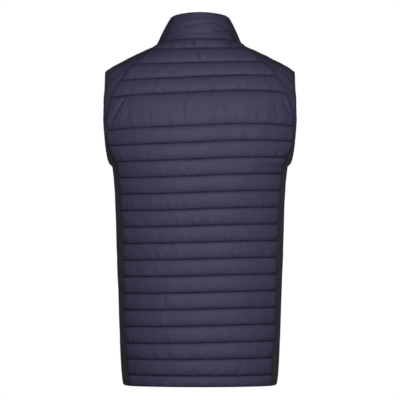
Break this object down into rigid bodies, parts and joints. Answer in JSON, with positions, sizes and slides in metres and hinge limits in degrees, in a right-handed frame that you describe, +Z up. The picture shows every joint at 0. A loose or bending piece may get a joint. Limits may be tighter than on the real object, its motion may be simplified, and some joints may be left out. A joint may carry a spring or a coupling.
{
  "type": "quilted vest",
  "caption": "Sleeveless quilted vest with a stand collar, plain shoulder and side panels, bound armholes and a full front zip, filled out as worn.",
  "frame": {"origin": "middle of the neck, level with the place where the shoulder seam meets the collar, where a wearer's neck base holds the vest", "axes": "+Z up along the body, -Y towards the front, +X towards the wearer's left"},
  "size_m": [0.3988, 0.2691, 0.7707],
  "materials": {
    "shell": "navy quilted nylon, satin",
    "yoke": "navy plain nylon, satin",
    "stretch": "charcoal stretch knit, matt",
    "trim": "dark elastic binding, matt",
    "tape": "woven zip tape, matt",
    "hardware": "dark moulded plastic, satin"
  },
  "bodies": {
    "garment": {"back": "shell", "front_left": "shell", "front_right": "shell", "shoulder_left": "yoke", "shoulder_right": "yoke", "collar": "yoke", "side_left": "stretch", "side_right": "stretch", "armhole_binding_left": "trim", "armhole_binding_right": "trim", "zip_tape_left": "tape", "zip_tape_right": "tape", "zip_slider": "hardware", "zip_box": "hardware"},
    "pull_tab": {"zip_pull_tab": "hardware"}
  },
  "joints": [
    {"name": "pull_tab_swing", "type": "hinge", "parent": "garment", "child": "pull_tab", "pos_m": [0, -0.08974, -0.00725], "axis": [-1, 0, 0], "range_deg": [0, 170]}
  ]
}
